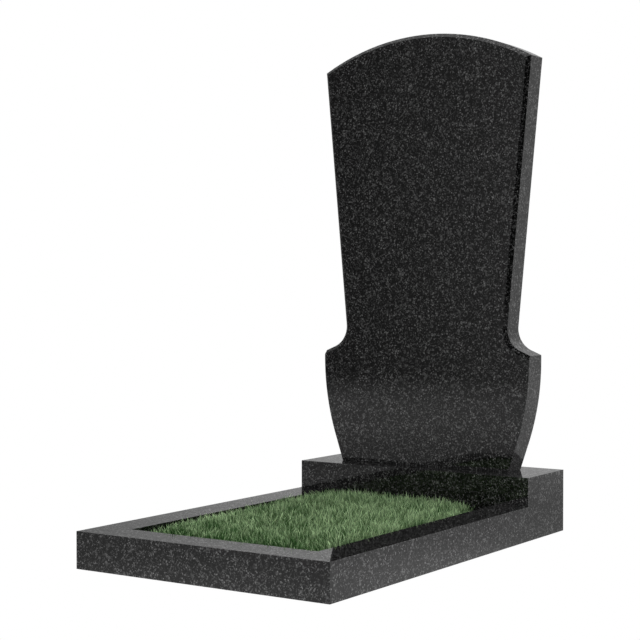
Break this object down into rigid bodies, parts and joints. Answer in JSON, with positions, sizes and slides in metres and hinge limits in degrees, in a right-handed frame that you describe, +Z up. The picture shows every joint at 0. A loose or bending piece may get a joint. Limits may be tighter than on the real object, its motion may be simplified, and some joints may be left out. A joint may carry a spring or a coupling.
{
  "type": "headstone",
  "caption": "Black granite headstone: an arched, waisted slab with a bowed foot on a plinth block, with mitred kerbs around a turf bed in front",
  "frame": {"origin": "on the ground under the middle of the whole base, plinth and kerbs together", "axes": "+X to the right seen from the front, +Y to the back where the slab stands, +Z up; the inscription side of the slab faces -Y"},
  "size_m": [0.6, 0.967, 1.1393],
  "materials": {
    "black_granite": "mirror-polished near-black granite with fine grey flecks",
    "grass": "short mid-green grass over dark soil"
  },
  "bodies": {
    "root": {"headstone": "black_granite", "plinth": "black_granite", "kerb_left": "black_granite", "kerb_right": "black_granite", "kerb_front": "black_granite", "turf": "grass"}
  },
  "joints": []
}
